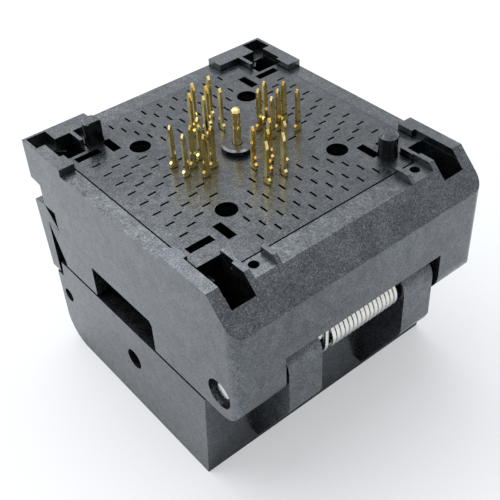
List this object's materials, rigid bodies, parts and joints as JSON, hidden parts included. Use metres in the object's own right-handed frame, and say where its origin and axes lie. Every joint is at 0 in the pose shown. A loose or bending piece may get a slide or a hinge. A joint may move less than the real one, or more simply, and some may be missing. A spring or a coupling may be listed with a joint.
{
  "type": "test socket",
  "caption": "Clamshell zero-insertion-force test socket for a leadless package, lid down, with a latch, a sprung hinge, a slotted contact plate and gold tails.",
  "frame": {"origin": "centre of the bounding box, on the floor that the lid's outer face stands on", "axes": "+X along the hinge shaft, +Y from the hinge to the latch, +Z along the contact tails, away from the lid"},
  "size_m": [0.0228, 0.025, 0.0227],
  "materials": {
    "moulded_plastic": "glass-filled moulded thermoplastic, satin with fine mottling",
    "inner_plastic": "moulded thermoplastic, satin",
    "steel": "ground stainless pin",
    "spring_steel": "drawn spring wire, bright",
    "gold_plate": "gold plated, bright"
  },
  "bodies": {
    "lid": {"lid_cover": "moulded_plastic", "pusher_pin": "steel", "pusher_springs": "spring_steel", "latch_pin": "steel", "latch_springs": "spring_steel", "hinge_shaft": "steel", "hinge_spring": "spring_steel"},
    "pusher": {"pusher": "inner_plastic"},
    "latch": {"latch": "moulded_plastic"},
    "base": {"base_housing": "moulded_plastic", "contact_plate": "moulded_plastic", "contact_carrier": "inner_plastic", "contacts_left": "gold_plate", "contacts_right": "gold_plate", "contacts_hinge_side": "gold_plate", "contacts_latch_side": "gold_plate", "ground_pin": "gold_plate", "nest_pins": "steel", "nest_springs": "spring_steel", "hinge_spring_leg": "spring_steel"},
    "nest": {"nest": "inner_plastic"}
  },
  "joints": [
    {"name": "base_swing", "type": "hinge", "parent": "lid", "child": "base", "pos_m": [0, -0.01045, 0.0112], "axis": [1, 0, 0], "range_deg": [0, 90]},
    {"name": "latch_pivot", "type": "hinge", "parent": "lid", "child": "latch", "pos_m": [0, 0.0104, 0.00525], "axis": [-1, 0, 0], "range_deg": [0, 15], "stiffness_Nm_per_rad": 0.03, "springref_deg": -20.05, "deforming": ["latch_springs"]},
    {"name": "pusher_rock", "type": "hinge", "parent": "lid", "child": "pusher", "pos_m": [0, 0.00067, 0.00537], "axis": [1, 0, 0], "range_deg": [-2.5, 2.5], "stiffness_Nm_per_rad": 0.046, "deforming": ["pusher_springs"]},
    {"name": "nest_float", "type": "slide", "parent": "base", "child": "nest", "axis": [0, 0, 1], "range_m": [0, 0.00035], "stiffness_N_per_m": 2000, "springref_m": -0.0005, "deforming": ["nest_springs"]}
  ]
}
